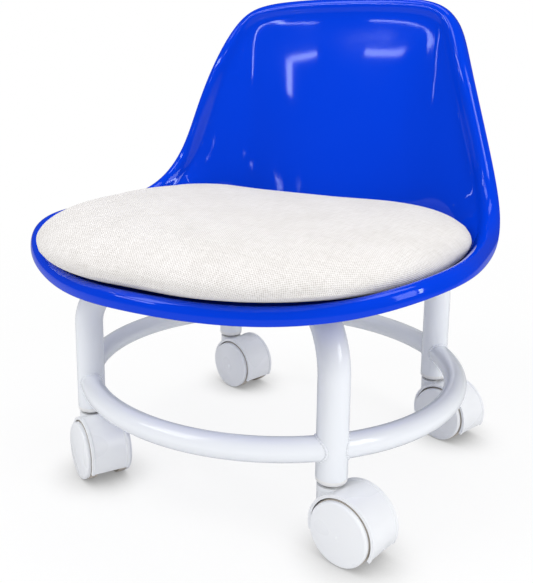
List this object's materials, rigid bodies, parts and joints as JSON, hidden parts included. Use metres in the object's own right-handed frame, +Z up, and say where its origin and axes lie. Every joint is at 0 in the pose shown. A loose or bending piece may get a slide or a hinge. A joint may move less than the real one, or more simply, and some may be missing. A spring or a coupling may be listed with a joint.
{
  "type": "kids chair",
  "caption": "Low rolling chair for a child: moulded bucket seat shell with a padded cushion on a tubular ring frame with twin-wheel casters.",
  "frame": {"origin": "on the floor under the middle of the chair's bounding box", "axes": "the sitter faces -Y, +X is across the chair, +Z is up"},
  "size_m": [0.3954, 0.3842, 0.4144],
  "materials": {
    "shell_blue": "glossy moulded plastic, deep blue",
    "cushion_cloth": "plain woven linen-look cloth over foam, off-white",
    "frame_white": "gloss white powder coat on steel tube",
    "caster_white": "satin white moulded nylon",
    "tread_grey": "light grey hard tread",
    "socket_plastic": "off-white moulded plug",
    "plain_steel": "zinc-plated steel",
    "insert_brass": "plain brass",
    "board_wood": "thin plywood"
  },
  "bodies": {
    "root": {"seat_shell": "shell_blue", "shell_inserts": "insert_brass", "mounting_plate": "frame_white", "plate_washers": "plain_steel", "plate_bolts": "plain_steel", "centre_hub": "frame_white", "seat_cushion": "cushion_cloth", "cushion_board": "board_wood", "leg_front_right": "frame_white", "leg_rear_right": "frame_white", "leg_rear_left": "frame_white", "leg_front_left": "frame_white", "ring_front": "frame_white", "ring_right": "frame_white", "ring_rear": "frame_white", "ring_left": "frame_white", "socket_front_right": "socket_plastic", "socket_rear_right": "socket_plastic", "socket_rear_left": "socket_plastic", "socket_front_left": "socket_plastic"},
    "front_right_fork": {"caster_front_right_hood": "caster_white", "caster_front_right_stem": "plain_steel", "caster_front_right_grip_ring": "plain_steel", "caster_front_right_axle": "plain_steel"},
    "front_right_wheel_left": {"caster_front_right_wheel_left": "tread_grey", "caster_front_right_cap_left": "caster_white"},
    "front_right_wheel_right": {"caster_front_right_wheel_right": "tread_grey", "caster_front_right_cap_right": "caster_white"},
    "rear_right_fork": {"caster_rear_right_hood": "caster_white", "caster_rear_right_stem": "plain_steel", "caster_rear_right_grip_ring": "plain_steel", "caster_rear_right_axle": "plain_steel"},
    "rear_right_wheel_left": {"caster_rear_right_wheel_left": "tread_grey", "caster_rear_right_cap_left": "caster_white"},
    "rear_right_wheel_right": {"caster_rear_right_wheel_right": "tread_grey", "caster_rear_right_cap_right": "caster_white"},
    "rear_left_fork": {"caster_rear_left_hood": "caster_white", "caster_rear_left_stem": "plain_steel", "caster_rear_left_grip_ring": "plain_steel", "caster_rear_left_axle": "plain_steel"},
    "rear_left_wheel_left": {"caster_rear_left_wheel_left": "tread_grey", "caster_rear_left_cap_left": "caster_white"},
    "rear_left_wheel_right": {"caster_rear_left_wheel_right": "tread_grey", "caster_rear_left_cap_right": "caster_white"},
    "front_left_fork": {"caster_front_left_hood": "caster_white", "caster_front_left_stem": "plain_steel", "caster_front_left_grip_ring": "plain_steel", "caster_front_left_axle": "plain_steel"},
    "front_left_wheel_left": {"caster_front_left_wheel_left": "tread_grey", "caster_front_left_cap_left": "caster_white"},
    "front_left_wheel_right": {"caster_front_left_wheel_right": "tread_grey", "caster_front_left_cap_right": "caster_white"}
  },
  "joints": [
    {"name": "front_right_swivel", "type": "hinge", "parent": "root", "child": "front_right_fork", "pos_m": [0.11667, -0.09907, 0.05], "axis": [0, 0, 1], "continuous": true},
    {"name": "front_right_wheel_left_spin", "type": "hinge", "parent": "front_right_fork", "child": "front_right_wheel_left", "pos_m": [0.13634, -0.10268, 0.025], "axis": [0.1805, 0.9836, 0], "continuous": true},
    {"name": "front_right_wheel_right_spin", "type": "hinge", "parent": "front_right_fork", "child": "front_right_wheel_right", "pos_m": [0.13634, -0.10268, 0.025], "axis": [0.1805, 0.9836, 0], "continuous": true},
    {"name": "rear_right_swivel", "type": "hinge", "parent": "root", "child": "rear_right_fork", "pos_m": [0.11667, 0.13427, 0.05], "axis": [0, 0, 1], "continuous": true},
    {"name": "rear_right_wheel_left_spin", "type": "hinge", "parent": "rear_right_fork", "child": "rear_right_wheel_left", "pos_m": [0.1357, 0.12812, 0.025], "axis": [0.3074, 0.9516, 0], "continuous": true},
    {"name": "rear_right_wheel_right_spin", "type": "hinge", "parent": "rear_right_fork", "child": "rear_right_wheel_right", "pos_m": [0.1357, 0.12812, 0.025], "axis": [0.3074, 0.9516, 0], "continuous": true},
    {"name": "rear_left_swivel", "type": "hinge", "parent": "root", "child": "rear_left_fork", "pos_m": [-0.11667, 0.13427, 0.05], "axis": [0, 0, 1], "continuous": true},
    {"name": "rear_left_wheel_left_spin", "type": "hinge", "parent": "rear_left_fork", "child": "rear_left_wheel_left", "pos_m": [-0.09747, 0.12869, 0.025], "axis": [0.279, 0.9603, 0], "continuous": true},
    {"name": "rear_left_wheel_right_spin", "type": "hinge", "parent": "rear_left_fork", "child": "rear_left_wheel_right", "pos_m": [-0.09747, 0.12869, 0.025], "axis": [0.279, 0.9603, 0], "continuous": true},
    {"name": "front_left_swivel", "type": "hinge", "parent": "root", "child": "front_left_fork", "pos_m": [-0.11667, -0.09907, 0.05], "axis": [0, 0, 1], "continuous": true},
    {"name": "front_left_wheel_left_spin", "type": "hinge", "parent": "front_left_fork", "child": "front_left_wheel_left", "pos_m": [-0.09935, -0.10907, 0.025], "axis": [0.5, 0.866, 0], "continuous": true},
    {"name": "front_left_wheel_right_spin", "type": "hinge", "parent": "front_left_fork", "child": "front_left_wheel_right", "pos_m": [-0.09935, -0.10907, 0.025], "axis": [0.5, 0.866, 0], "continuous": true}
  ]
}
